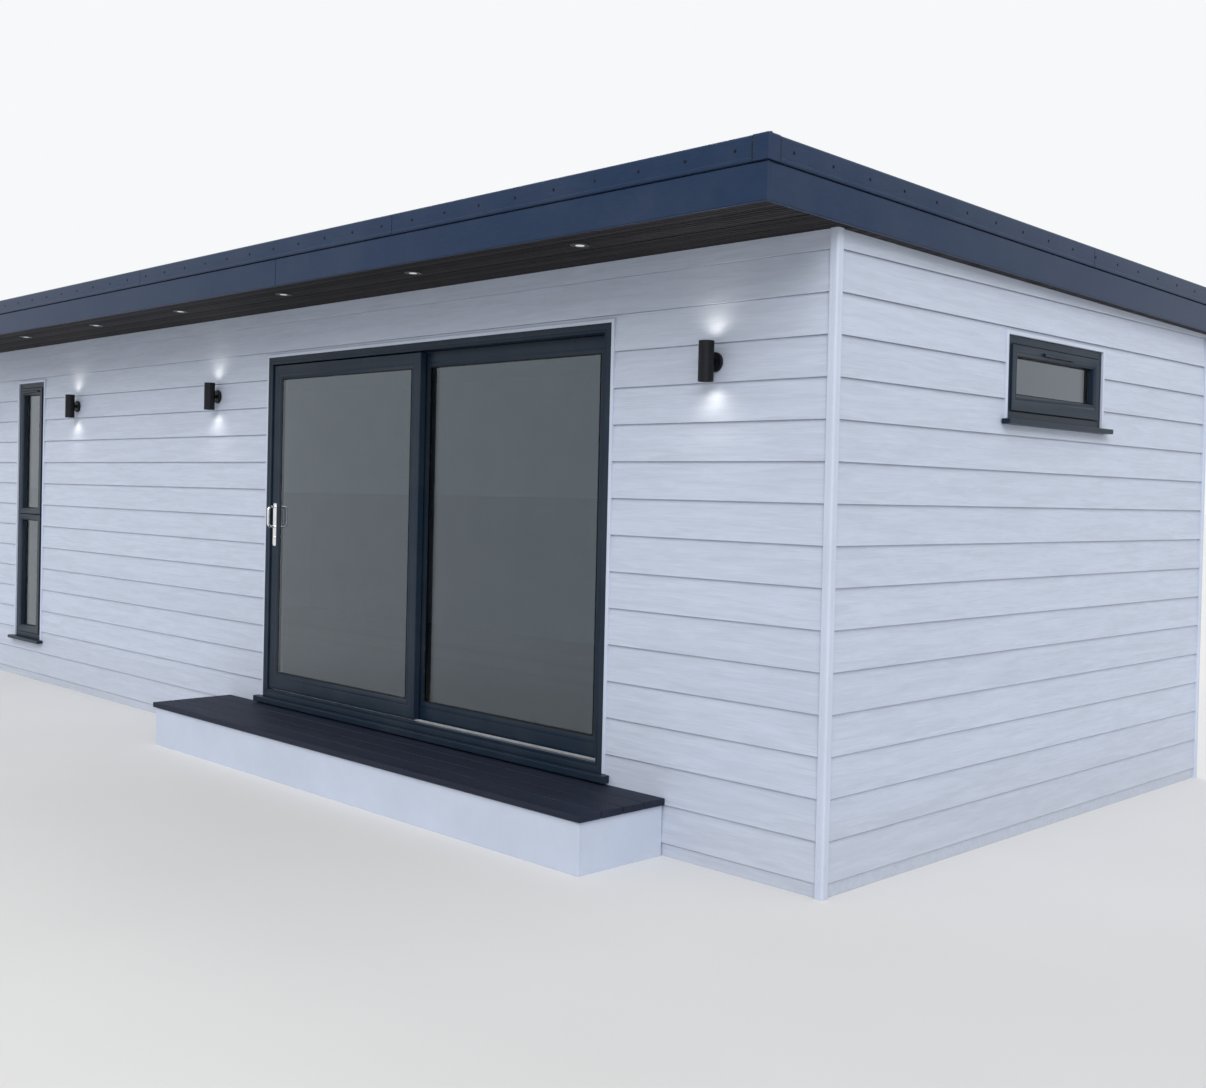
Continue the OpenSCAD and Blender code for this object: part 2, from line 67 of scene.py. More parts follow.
# Fascia and edge trim. EDGE_ROUND_AT is the centre of the trim's rounded top: inward, height.
FASCIA_H = 0.145
FASCIA_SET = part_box("fascia_boards")[0].y - EDGE_LOW.y
SHADOW_GAP = 0.004
EDGE_T = PANEL_LOW.y - EDGE_LOW.y
EDGE_TOP = EDGE_HIGH.z
EDGE_FOOT = EAVES_Z + FASCIA_H + SHADOW_GAP
EDGE_ROUND = 0.012
EDGE_ROUND_AT = (0.015, EDGE_TOP - 0.0135)
QUARTER = [math.radians(90 * i / 5) for i in range(6)]
SCREW_PITCH = 0.250

# Joints in the roof edge: on the long sides from the right end as seen from outside, on the
# short sides from the front
TRIM_JOINTS = (2.322, 4.986, 7.650)
SIDE_TRIM_JOINT = 2.645
FASCIA_JOINTS = (3.388, 8.388)

# Lap boards
EXPOSURE = 0.170
LIP = 0.011
BOARD_GAP = 0.0003
BOARD_BACK = 0.004
ARRIS = 0.0015
LIP_EDGE = 0.004
UNDERCUT = 0.010
LEAST_BOARD = 0.015

# Door and windows: faces and reveal are measured from a frame's outer edge, depths from the cladding
GLASS_HALF = 0.012
SLIDING_LIFT = 0.0075
WINDOW_FACE = 0.050
REVEAL = 0.042
PANE_FACE = 0.098
TRANSOM = 1.008
WINDOW_SASH_DEPTHS = (0.0, 0.066)
WINDOW_GLASS_DEPTHS = (0.031, 0.055)

# Wall lights, with the power of each end in watts
PLATE_R, PLATE_T = 0.043, 0.012
LAMP_R, LAMP_NECK = 0.034, 0.015
LAMP_OUT = PLATE_T + LAMP_NECK + LAMP_R
GLOW_WATTS = 1.0

# Camera, fitted to the lap lines of both walls in the photograph
PHOTO_SIZE = (1206, 1088)
FOCAL_PX = 1348.2
AXIS_ROW_PX = 511.5
CAMERA_FROM_CORNER = Vector((3.171, -4.436, 1.610))
CAMERA_YAW = math.radians(-45.17)
CAMERA_PITCH = math.radians(-0.76)
CAMERA_ROLL = math.radians(1.30)
SENSOR = 36.0


def drop(y):
    """How far the roof has fallen at y."""
    return FALL_RATE * (y - ROOF_FRONT_Y)


class Shape:
    """Corners and faces of one mesh, gathered solid by solid."""

    def __init__(self):
        self.verts = []
        self.faces = []

    def sweep(self, loops, closed=False):
        """Joins equal loops into one solid, capped at both ends unless it closes on itself."""
        base, n, count = len(self.verts), len(loops[0]), len(loops)
        for loop in loops:
            self.verts += [tuple(p) for p in loop]
        for k in range(count if closed else count - 1):
            a, b = base + k * n, base + (k + 1) % count * n
            for i in range(n):
                j = (i + 1) % n
                self.faces.append((a + i, a + j, b + j, b + i))
        if not closed:
            self.faces.append(tuple(base + i for i in reversed(range(n))))
            self.faces.append(tuple(base + (count - 1) * n + i for i in range(n)))

    def prism(self, loop_a, loop_b):
        self.sweep([loop_a, loop_b])

    def block(self, low, high):
        def loop(z):
            return [(low[0], low[1], z), (high[0], low[1], z), (high[0], high[1], z), (low[0], high[1], z)]
        self.prism(loop(low[2]), loop(high[2]))

    def ring(self, place, outer, inner, profile):
        """A mitred frame. profile lists (share of the way from outer to inner, depth)."""
        loops = []
        for a_side, z_side in ((0, 2), (1, 2), (1, 3), (0, 3)):
            loop = []
            for share, depth in profile:
                a = outer[a_side] + share * (inner[a_side] - outer[a_side])
                z = outer[z_side] + share * (inner[z_side] - outer[z_side])
                loop.append(place(a, depth, z))
            loops.append(loop)
        self.sweep(loops, closed=True)

    def lathe(self, place, profile, steps=32):
        """A turned shape. profile lists (radius, height) and begins and ends on the axis."""
        base = len(self.verts)
        inner = profile[1:-1]
        self.verts.append(place(0.0, 0.0, profile[0][1]))
        for radius, height in inner:
            for s in range(steps):
                angle = 2 * math.pi * s / steps
                self.verts.append(place(radius * math.cos(angle), radius * math.sin(angle), height))
        self.verts.append(place(0.0, 0.0, profile[-1][1]))
        last = len(self.verts) - 1
        for s in range(steps):
            t = (s + 1) % steps
            self.faces.append((base, base + 1 + t, base + 1 + s))
            for r in range(len(inner) - 1):
                a, b = base + 1 + r * steps, base + 1 + (r + 1) * steps
                self.faces.append((a + s, a + t, b + t, b + s))
            end = base + 1 + (len(inner) - 1) * steps
            self.faces.append((last, end + s, end + t))

    def tube(self, path, radius, sides=20):
        """A round bar along a path that lies in a plane square to X."""
        angles = [2 * math.pi * s / sides for s in range(sides)]
        wide = Vector((1, 0, 0))
        loops = []
        for i, point in enumerate(path):
            ahead = path[min(i + 1, len(path) - 1)] - path[max(i - 1, 0)]
            up = wide.cross(ahead.normalized())
            loops.append([point + radius * (math.cos(t) * wide + math.sin(t) * up) for t in angles])
        self.sweep(loops)


def smooth_by_angle(mesh, degrees=35):
    for face in mesh.polygons:
        face.use_smooth = True
    mesh.set_sharp_from_angle(angle=math.radians(degrees))


def piece(name, shape, material, replaces=(), body="building"):
    mesh = bpy.data.meshes.new(name)
    mesh.from_pydata(shape.verts, [], shape.faces)
    work = bmesh.new()
    work.from_mesh(mesh)
    bmesh.ops.recalc_face_normals(work, faces=work.faces)
    work.to_mesh(mesh)
    work.free()
    smooth_by_angle(mesh)
    mesh.materials.append(material)
    obj = bpy.data.objects.new(name, mesh)
    bpy.context.scene.collection.objects.link(obj)
    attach(obj, body)
    if replaces:
        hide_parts(*replaces)
    return obj


def cut(obj, boxes):
    """Takes boxes out of a piece's mesh for good."""
    shape = Shape()
    for low, high in boxes:
        shape.block(low, high)
    mesh = bpy.data.meshes.new("cutter")
    mesh.from_pydata(shape.verts, [], shape.faces)
    cutter = bpy.data.objects.new("cutter", mesh)
    bpy.context.scene.collection.objects.link(cutter)
    difference = obj.modifiers.new("cut", "BOOLEAN")
    difference.operation = "DIFFERENCE"
    difference.solver = "EXACT"
    difference.object = cutter
    bpy.context.view_layer.update()
    evaluated = obj.evaluated_get(bpy.context.evaluated_depsgraph_get())
    made = bpy.data.meshes.new_from_object(evaluated)
    obj.modifiers.remove(difference)
    obj.data = made
    bpy.data.objects.remove(cutter)


def soften(node, width):
    """Rounds the edges of a CAD node without changing its mesh."""
    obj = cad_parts[node]
    weld = obj.modifiers.new("weld", "WELD")
    weld.merge_threshold = 0.00001
    bevel = obj.modifiers.new("arris", "BEVEL")
    bevel.width = width
    bevel.segments = 2
    bevel.limit_method = "ANGLE"
    bevel.angle_limit = math.radians(40)


def dress(material, *nodes):
    for name in nodes:
        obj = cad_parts[name]
        obj.data.materials.clear()
        obj.data.materials.append(material)


# Materials: axes of a pattern, linear colours, and pitches of boards across their grain
X, Y, Z = 0, 1, 2
# White of the cladding and trims, darkened and tinted blue: partly the boards' own white and partly painted
# blue shade from the sky
WHITE_WITH_BLUE_SHADE = (0.50, 0.555, 0.67)
# Anthracite of the door and window frames, darkened and tinted blue: partly their own colour and partly
# painted blue shade from the sky
ANTHRACITE = (0.008, 0.018, 0.034)
# Anthracite of the fascia and roof edge, made bluer and darker: partly its own colour and partly painted
# blue shade from the sky
FASCIA_ANTHRACITE_WITH_BLUE_SHADE = (0.009, 0.026, 0.068)
SPLASH_DIRT = (0.42, 0.40, 0.37)
GREY_DUST, DUST_SHARE = (0.32, 0.33, 0.34), 0.035
WARM_DUST = (0.35, 0.33, 0.3)
SOFFIT_LIGHT, SOFFIT_DARK, REED_PITCH = (0.062, 0.058, 0.062), (0.028, 0.027, 0.031), 0.028
DECK_LIGHT, DECK_DARK, DECK_PITCH = (0.020, 0.026, 0.048), (0.010, 0.014, 0.030), 0.1325
TIMBER_LIGHT, TIMBER_DARK, TIMBER_PITCH = (0.50, 0.37, 0.22), (0.34, 0.24, 0.13), 0.2
PLANK_LIGHT, PLANK_DARK, PLANK_PITCH = (0.40, 0.29, 0.18), (0.27, 0.19, 0.11), 0.19


class Paint:
    """A node material that is put together step by step."""

    def __init__(self, name, roughness=0.5, metallic=0.0):
        self.material = bpy.data.materials.new(name)
        self.material.use_nodes = True
        self.tree = self.material.node_tree
        self.shader = self.tree.nodes["Principled BSDF"]
        self.shader.inputs["Roughness"].default_value = roughness
        self.shader.inputs["Metallic"].default_value = metallic
        self.place = self.tree.nodes.new("ShaderNodeTexCoord").outputs["Object"]

    def link(self, source, target):
        self.tree.links.new(source, target)

    def add(self, kind, **settings):
        made = self.tree.nodes.new(kind)
        for key, value in settings.items():
            setattr(made, key, value)
        return made

    def math(self, operation, a, b=None):
        made = self.add("ShaderNodeMath", operation=operation)
        for socket, value in zip(made.inputs, (a, b)):
            if value is None:
                continue
            if isinstance(value, (int, float)):
                socket.default_value = value
            else:
                self.link(value, socket)
        return made.outputs[0]

    def stretched(self, scale, offset=None):
        mapping = self.add("ShaderNodeMapping")
        mapping.inputs["Scale"].default_value = scale
        self.link(self.place, mapping.inputs["Vector"])
        if offset is not None:
            self.link(offset, mapping.inputs["Location"])
        return mapping.outputs[0]

    def noise(self, scale, detail=4.0, roughness=0.55, vector=None, distortion=0.0):
        made = self.add("ShaderNodeTexNoise")
        made.inputs["Scale"].default_value = scale
        made.inputs["Detail"].default_value = detail
        made.inputs["Roughness"].default_value = roughness
        made.inputs["Distortion"].default_value = distortion
        self.link(vector if vector is not None else self.place, made.inputs["Vector"])
        return made.outputs["Fac"]

    def ramp(self, factor, stops):
        made = self.add("ShaderNodeValToRGB")
        elements = made.color_ramp.elements
        while len(elements) < len(stops):
            elements.new(0.5)
        for element, (at, colour) in zip(elements, stops):
            element.position = at
            element.color = (*colour, 1.0)
        self.link(factor, made.inputs["Fac"])
        return made.outputs["Color"]

    def mix(self, factor, a, b, blend="MIX"):
        made = self.add("ShaderNodeMix", data_type="RGBA", blend_type=blend)
        for socket, value in ((made.inputs[0], factor), (made.inputs[6], a), (made.inputs[7], b)):
            if isinstance(value, (int, float)):
                socket.default_value = value
            elif isinstance(value, tuple):
                socket.default_value = (*value, 1.0)
            else:
                self.link(value, socket)
        return made.outputs[2]

    def spread(self, factor, low, high):
        made = self.add("ShaderNodeMapRange")
        made.inputs["To Min"].default_value = low
        made.inputs["To Max"].default_value = high
        self.link(factor, made.inputs["Value"])
        return made.outputs[0]

    def colour(self, source):
        self.link(source, self.shader.inputs["Base Color"])

    def rough(self, factor, low, high):
        self.link(self.spread(factor, low, high), self.shader.inputs["Roughness"])

    def bump(self, *layers):
        """Each layer is (height, distance in metres, strength)."""
        normal = None
        for height, distance, strength in layers:
            made = self.add("ShaderNodeBump")
            made.inputs["Strength"].default_value = strength
            made.inputs["Distance"].default_value = distance
            self.link(height, made.inputs["Height"])
            if normal is not None:
                self.link(normal, made.inputs["Normal"])
            normal = made.outputs[0]
        self.link(normal, self.shader.inputs["Normal"])


def tone(colour, factor):
    return tuple(min(1.0, c * factor) for c in colour)


def grey(value):
    return (value, value, value)


def across(axis, along, over):
    """Scales for a grain that runs along one axis."""
    return tuple(along if i == axis else over for i in range(3))


def board_pattern(paint, pitch, start, axis, shift_by):
    """A random tone and a random shift of the grain for each board, from its number across an axis."""
    parts = paint.add("ShaderNodeSeparateXYZ")
    paint.link(paint.place, parts.inputs[0])
    from_start = paint.math("SUBTRACT", parts.outputs[axis], start)
    number = paint.math("FLOOR", paint.math("DIVIDE", from_start, pitch))
    random = paint.add("ShaderNodeTexWhiteNoise", noise_dimensions="1D")
    paint.link(number, random.inputs["W"])
    shift = paint.add("ShaderNodeVectorMath", operation="SCALE")
    shift.inputs["Scale"].default_value = shift_by
    paint.link(random.outputs["Color"], shift.inputs[0])
    return random.outputs["Value"], shift.outputs[0]


def cladding_paint(name, colour, axis):
    """White boards with an embossed grain along one axis and a trace of splash at their foot."""
    paint = Paint(name)
    random, shift = board_pattern(paint, EXPOSURE, STRIP_TOP, Z, 9.0)
    broad = paint.noise(1.0, 5.0, 0.6, paint.stretched(across(axis, 2.2, 34.0), shift), 0.8)
    fine = paint.noise(1.0, 3.0, 0.6, paint.stretched(across(axis, 9.0, 260.0), shift), 0.4)
    grain = paint.ramp(broad, ((0.38, tone(colour, 0.93)), (0.62, tone(colour, 1.03))))
    lines = paint.ramp(fine, ((0.35, (0.86, 0.87, 0.88)), (0.6, grey(1.0))))
    board = paint.ramp(random, ((0.0, (0.97, 0.97, 0.975)), (1.0, grey(1.0))))
    base = paint.mix(0.6, grain, lines, "MULTIPLY")
    base = paint.mix(1.0, base, board, "MULTIPLY")
    paint.colour(splash(paint, base))
    paint.rough(broad, 0.42, 0.6)
    paint.bump((broad, 0.0012, 0.5), (fine, 0.0005, 0.6))
    return paint.material


def splash(paint, base, top=0.42, strength=0.35):
    """A little grey-brown dirt near the ground."""
    parts = paint.add("ShaderNodeSeparateXYZ")
    paint.link(paint.place, parts.inputs[0])
    fade = paint.add("ShaderNodeMapRange", clamp=True)
    fade.inputs["From Min"].default_value = 0.0
    fade.inputs["From Max"].default_value = top
    fade.inputs["To Min"].default_value = strength
    fade.inputs["To Max"].default_value = 0.0
    paint.link(parts.outputs[Z], fade.inputs["Value"])
    spots = paint.noise(14.0, 8.0, 0.7)
    amount = paint.math("MULTIPLY", fade.outputs[0], spots)
    return paint.mix(amount, base, SPLASH_DIRT)


def foil_paint(name, colour, axis):
    """Dark foil with a fine wood grain, as on window frames and fascia boards."""
    paint = Paint(name)
    grain = paint.noise(1.0, 6.0, 0.65, paint.stretched(across(axis, 14.0, 420.0)), 0.5)
    cloud = paint.noise(2.4, 4.0, 0.6)
    base = paint.ramp(grain, ((0.35, tone(colour, 0.82)), (0.65, tone(colour, 1.18))))
    dust = paint.ramp(cloud, ((0.42, grey(0.0)), (0.75, grey(1.0))))
    paint.colour(paint.mix(paint.math("MULTIPLY", dust, DUST_SHARE), base, GREY_DUST))
    paint.rough(cloud, 0.3, 0.42)
    paint.shader.inputs["Specular IOR Level"].default_value = 0.16
    paint.bump((grain, 0.0003, 0.5))
    return paint.material


def smooth_paint(name, colour, roughness, speck=60.0, dirt=0.08, specular=0.5):
    """A smooth finish with faint cloudiness, dust and an uneven gloss."""
    paint = Paint(name)
    paint.shader.inputs["Specular IOR Level"].default_value = specular
    cloud = paint.noise(3.1, 5.0, 0.6)
    fine = paint.noise(speck, 4.0, 0.6)
    base = paint.ramp(cloud, ((0.3, tone(colour, 0.95)), (0.7, tone(colour, 1.04))))
    dusty = paint.math("MULTIPLY", paint.math("GREATER_THAN", fine, 0.62), dirt)
    paint.colour(paint.mix(dusty, base, WARM_DUST))
    paint.rough(cloud, roughness * 0.85, min(1.0, roughness * 1.2))
    paint.bump((fine, 0.0002, 0.35))
    return paint.material


def metal_paint(name, colour, roughness, axis):
    """Metal with fine brushing along one axis."""
    paint = Paint(name, metallic=1.0)
    brush = paint.noise(1.0, 4.0, 0.6, paint.stretched(across(axis, 20.0, 1600.0)))
    cloud = paint.noise(18.0, 4.0, 0.6)
    paint.colour(paint.ramp(cloud, ((0.3, tone(colour, 0.92)), (0.7, tone(colour, 1.05)))))
    paint.rough(cloud, roughness * 0.7, roughness * 1.4)
    paint.bump((brush, 0.00005, 0.3))
    return paint.material


def plank_paint(
    name, light, dark, axis, pitch, plank_axis, roughness=(0.35, 0.55), specular=0.5, darkest=0.82,
):
    """Boards laid side by side, each of its own tone, with a grain along one axis."""
    paint = Paint(name)
    paint.shader.inputs["Specular IOR Level"].default_value = specular
    random, shift = board_pattern(paint, pitch, 0.0, plank_axis, 7.0)
    grain = paint.noise(1.0, 7.0, 0.62, paint.stretched(across(axis, 1.6, 38.0), shift), 1.2)
    pores = paint.noise(1.0, 3.0, 0.6, paint.stretched(across(axis, 18.0, 500.0), shift))
    base = paint.ramp(grain, ((0.32, dark), (0.66, light)))
    board = paint.ramp(random, ((0.0, grey(darkest)), (1.0, grey(1.0))))
    base = paint.mix(1.0, base, board, "MULTIPLY")
    pits = paint.ramp(pores, ((0.35, grey(0.6)), (0.6, grey(1.0))))
    paint.colour(paint.mix(0.35, base, pits, "MULTIPLY"))
    paint.rough(grain, *roughness)
    paint.bump((grain, 0.0006, 0.4), (pores, 0.0002, 0.5))
    return paint.material


def glass_paint(name):
    """Glass with a strong tint, partly its own and partly painted shade on what lies behind it, and a faint
    uneven film.
    """
    paint = Paint(name, roughness=0.0)
    paint.shader.inputs["Transmission Weight"].default_value = 1.0
    paint.shader.inputs["IOR"].default_value = 1.75
    paint.shader.inputs["Specular Tint"].default_value = (0.78, 0.90, 1.0, 1.0)
    film = paint.noise(1.4, 5.0, 0.6)
    # The dark grey-blue tint paints shade on the room seen through the glass, besides the glass's own tint
    paint.colour(paint.ramp(film, ((0.3, (0.44, 0.51, 0.58)), (0.7, (0.48, 0.55, 0.62)))))
    paint.rough(film, 0.0, 0.012)
    return paint.material


def rubber_roof_paint(name):
    """A dark rubber sheet with dust that has settled unevenly."""
    paint = Paint(name)
    cloud = paint.noise(0.9, 7.0, 0.65)
    fine = paint.noise(240.0, 3.0, 0.6)
    ripple = paint.noise(3.0, 2.0, 0.5)
    clean, worn, dusty = (0.035, 0.037, 0.04), (0.06, 0.062, 0.066), (0.096, 0.097, 0.098)
    paint.colour(paint.ramp(cloud, ((0.3, clean), (0.55, worn), (0.8, dusty))))
    paint.rough(cloud, 0.62, 0.9)
    paint.bump((ripple, 0.004, 0.3), (fine, 0.0004, 0.4))
    return paint.material


def lamp_paint(name, colour, strength):
    """A glowing lens with a slightly uneven brightness."""
    paint = Paint(name, roughness=0.3)
    cells = paint.noise(90.0, 2.0, 0.5)
    glow = paint.ramp(cells, ((0.3, tone(colour, 0.85)), (0.7, colour)))
    paint.colour(glow)
    paint.link(glow, paint.shader.inputs["Emission Color"])
    paint.shader.inputs["Emission Strength"].default_value = strength
    return paint.material


PAINTS = {
    "white_x": cladding_paint("white_boards_along_x", WHITE_WITH_BLUE_SHADE, X),
    "white_y": cladding_paint("white_boards_along_y", WHITE_WITH_BLUE_SHADE, Y),
    "white_trim": smooth_paint("white_trim", WHITE_WITH_BLUE_SHADE, 0.5, dirt=0.05),
    "fascia_x": foil_paint("fascia_along_x", FASCIA_ANTHRACITE_WITH_BLUE_SHADE, X),
    "fascia_y": foil_paint("fascia_along_y", FASCIA_ANTHRACITE_WITH_BLUE_SHADE, Y),
    "frame_x": foil_paint("frame_along_x", ANTHRACITE, X),
    "frame_z": foil_paint("frame_along_z", ANTHRACITE, Z),
    "soffit": plank_paint(
        "soffit_boards", SOFFIT_LIGHT, SOFFIT_DARK, X, REED_PITCH, Y,
        roughness=(0.6, 0.8), specular=0.12, darkest=0.3,
    ),
    "rubber": smooth_paint("black_gasket", (0.006, 0.006, 0.007), 0.6, specular=0.2),
    "roof": rubber_roof_paint("roof_rubber"),
    "glass": glass_paint("window_glass"),
    "chrome": metal_paint("polished_chrome", (0.82, 0.82, 0.84), 0.09, Z),
    "aluminium": metal_paint("track_aluminium", (0.72, 0.73, 0.75), 0.32, X),
    "steel": metal_paint("lamp_rim_steel", (0.10, 0.10, 0.11), 0.4, X),
    "screw": smooth_paint("dark_screw", (0.004, 0.005, 0.008), 0.5, specular=0.15),
    "lamp": smooth_paint("black_lamp", (0.006, 0.007, 0.010), 0.45, speck=140.0, dirt=0.03, specular=0.18),
    "lens": lamp_paint("lamp_lens", (1.0, 0.93, 0.80), 2.0),
    "dim_lens": lamp_paint("dim_lens", (0.95, 0.93, 0.88), 0.3),
    "timber": plank_paint("base_timber", TIMBER_LIGHT, TIMBER_DARK, X, TIMBER_PITCH, Z),
    "floor": plank_paint("floor_planks", PLANK_LIGHT, PLANK_DARK, X, PLANK_PITCH, Y),
    "lining": smooth_paint("painted_lining", (0.74, 0.74, 0.72), 0.7, speck=30.0, dirt=0.03),
    "deck": plank_paint(
        "deck_boards", DECK_LIGHT, DECK_DARK, X, DECK_PITCH, Y, roughness=(0.5, 0.7), specular=0.18,
    ),
}


# Places on the walls: a runs along the wall and out is the distance from the timber

def on_front(a, out, z):
    return (a, CORE_FRONT_Y - out, z)


def on_back(a, out, z):
    return (a, CORE_BACK_Y + out, z)


def on_right(a, out, z):
    return (CORE_X + out, a, z)


def on_left(a, out, z):
    return (-CORE_X - out, a, z)


def lap_boards(place, ends, tops):
    """Boards from the base strip to the soffit, whose height may differ at the two ends."""
    shape = Shape()
    foot = STRIP_TOP
    while max(tops) - foot > LEAST_BOARD:
        loops = []
        for a, top in zip(ends, tops):
            head = max(foot + UNDERCUT + ARRIS, min(foot + EXPOSURE - BOARD_GAP, top))
            thin = CLAD_T - LIP * (head - foot) / EXPOSURE
            profile = [
                (BOARD_BACK, foot + UNDERCUT),
                (CLAD_T - LIP_EDGE - ARRIS, foot + UNDERCUT),
                (CLAD_T - LIP_EDGE, foot),
                (CLAD_T - ARRIS, foot),
                (CLAD_T, foot + ARRIS),
                (thin, head),
                (BOARD_BACK, head),
            ]
            loops.append([place(a, out, z) for out, z in profile])
        shape.prism(*loops)
        foot += EXPOSURE
    return shape


def opening_box(prefix, right_wall):
    """The hole that an opening's frame, trim and cill need in the boards."""
    low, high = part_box(prefix + "_frame")
    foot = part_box(prefix + "_cill")[0].z
    trim, past = 0.018, 0.1
    head = high.z + trim
    if right_wall:
        return (CORE_X - past, low.y - trim, foot), (END_X + past, high.y + trim, head)
    return (low.x - trim, FRONT_Y - past, foot), (high.x + trim, CORE_FRONT_Y + past, head)


def build_cladding():
    wide = END_X - CORNER_LEG
    front_ends = (-wide, wide)
    side_ends = (FRONT_Y + CORNER_LEG, BACK_Y - CORNER_LEG)
    for side, place, ends, depths, paint, openings in (
        ("front", on_front, front_ends, (FRONT_Y, FRONT_Y), "white_x", ("door", "narrow_window")),
        ("back", on_back, front_ends, (BACK_Y, BACK_Y), "white_x", ()),
        ("right", on_right, side_ends, side_ends, "white_y", ("small_window",)),
        ("left", on_left, side_ends, side_ends, "white_y", ()),
    ):
        boards = lap_boards(place, ends, [EAVES_Z - drop(y) for y in depths])
        obj = piece(side + "_lap_boards", boards, PAINTS[paint], [side + "_cladding"])
        if openings:
            cut(obj, [opening_box(prefix, side == "right") for prefix in openings])


def corner_profile():
    """Outline of a corner trim: two legs, a rounded nose and a groove along each leg."""
    proud, leg = CORNER_PROUD, CORNER_LEG
    radius, groove, chamfer, groove_at = 0.010, 0.0015, 0.003, 0.6 * leg
    half = [
        (leg, -proud + chamfer), (leg - chamfer, -proud), (groove_at + groove, -proud),
        (groove_at, -proud + groove), (groove_at - groove, -proud),
    ]
    centre = radius - proud
    nose = []
    steps = 6
    for i in range(steps + 1):
        angle = math.radians(270 - 90 * i / steps)
        nose.append((centre + radius * math.cos(angle), centre + radius * math.sin(angle)))
    other = [(b, a) for a, b in reversed(half)]
    return half + nose + other + [(CLAD_T, leg), (CLAD_T, CLAD_T), (leg, CLAD_T)]


def build_corner_trims():
    shape = Shape()
    for sx in (-1, 1):
        for y0, sy in ((FRONT_Y, 1), (BACK_Y, -1)):
            def loop(z_of):
                return [
                    (sx * (END_X - a), y0 + sy * b, z_of(y0 + sy * b))
                    for a, b in corner_profile()
                ]
            shape.prism(loop(lambda y: 0.0), loop(lambda y: EAVES_Z - drop(y)))
    piece("corner_posts", shape, PAINTS["white_trim"], ["corner_trims"])


# Roof edge

def edge_run(shape, profile, side, a0, a1):
    """A board along one side of the roof. profile lists (inward from the face, height)."""
    faces = {"front": EDGE_LOW.y, "back": EDGE_HIGH.y, "right": EDGE_HIGH.x, "left": EDGE_LOW.x}
    sign = 1 if side in ("front", "left") else -1
    loops = []
    for a in (a0, a1):
        loop = []
        for inward, z in profile:
            if side in ("front", "back"):
                y = faces[side] + sign * inward
                loop.append((a, y, z - drop(y)))
            else:
                loop.append((faces[side] + sign * inward, a, z - drop(a)))
        loops.append(loop)
    shape.prism(*loops)


def runs(start, end, joints, gap=0.004):
    """The stretches between joints, with a gap at each joint."""
    half = math.copysign(gap / 2, end - start)
    inside = [j for j in joints if min(start, end) < j < max(start, end)]
    return zip([start] + [j + half for j in inside], [j - half for j in inside] + [end])


def edge_profile():
    """The roof edge trim: a drip at the foot, a flat face and a rounded top."""
    drip, arris, step = 0.014, 0.004, 0.003
    inward, z = EDGE_ROUND_AT
    points = [
        (arris, EDGE_FOOT), (0.0, EDGE_FOOT + arris),
        (0.0, EDGE_FOOT + drip), (step, EDGE_FOOT + drip + arris),
    ]
    points += [(inward - EDGE_ROUND * math.cos(t), z + EDGE_ROUND * math.sin(t)) for t in QUARTER]
    return points + [(EDGE_T, z + EDGE_ROUND), (EDGE_T, EDGE_FOOT)]


def cover_profile(proud):
    """A thin folded sheet that follows the edge trim's face and its rounded top."""
    inward, z = EDGE_ROUND_AT
    outer_rise, inner_rise, inner_proud = 0.0134, 0.0122, 0.0002

    def side(reach, rise):
        arc = [(inward - reach * math.cos(t), z + rise * math.sin(t)) for t in QUARTER]
        return [(inward - reach, EDGE_FOOT), *arc, (EDGE_T, z + rise)]
    return side(inward + proud, outer_rise) + side(inward + inner_proud, inner_rise)[::-1]


def corner_folds(leg, profile):
    """The profile folded round all four corners of the roof."""
    shape = Shape()
    for sx in (-1, 1):
        for face_y, sy in ((EDGE_LOW.y, 1), (EDGE_HIGH.y, -1)):
            loops = []
            for x_leg, y_leg in ((leg, None), (None, None), (None, leg)):
                loop = []
                for inward, z in profile:
                    x = sx * (EDGE_HIGH.x - (x_leg or inward))
                    y = face_y + sy * (y_leg or inward)
                    loop.append((x, y, z - drop(y)))
                loops.append(loop)
            shape.sweep(loops)
    return shape


def build_corner_covers():
    leg, shade_strip_reach = 0.070, 0.006
    cover_proud, shade_strip_proud = 0.0028, 0.0012
    covers = corner_folds(leg, cover_profile(cover_proud))
    piece("corner_covers", covers, PAINTS["fascia_x"], ["roof_corner_covers"])
    # Black strips reaching 6 mm past each end of the covers: painted shade lines beside every cover
    shade_strips = corner_folds(leg + shade_strip_reach, cover_profile(shade_strip_proud))
    piece("corner_cover_shade_strips", shade_strips, PAINTS["rubber"])


def fascia_profile():
    foot, top, arris = EAVES_Z, EAVES_Z + FASCIA_H, 0.003
    return [
        (FASCIA_SET + arris, foot), (FASCIA_SET, foot + arris), (FASCIA_SET, top - arris),
        (FASCIA_SET + arris, top), (EDGE_T, top), (EDGE_T, foot),
    ]


def build_roof_edge():
    """Edge trims and fascia boards: long ones over the whole length, short ones between them."""
    right, clearance = EDGE_HIGH.x, 0.0005
    side_ends = (PANEL_LOW.y + clearance, PANEL_HIGH.y - clearance)
    for kind, node, profile, long_joints, side_joints, set_back in (
        ("edge_trim", "roof_edge_trims", edge_profile(), TRIM_JOINTS, [EDGE_LOW.y + SIDE_TRIM_JOINT], 0.0),
        ("fascia", "fascia_boards", fascia_profile(), FASCIA_JOINTS, [], FASCIA_SET),
    ):
        along_x, along_y = Shape(), Shape()
        x = right - set_back
        for a, b in runs(x, -x, [right - j for j in long_joints]):
            edge_run(along_x, profile, "front", a, b)
        for a, b in runs(-x, x, [j - right for j in long_joints]):
            edge_run(along_x, profile, "back", a, b)
        for side in ("right", "left"):
            for a, b in runs(*side_ends, side_joints):
                edge_run(along_y, profile, side, a, b)
        piece(kind + "_long", along_x, PAINTS["fascia_x"], [node])
        piece(kind + "_short", along_y, PAINTS["fascia_y"], [node])


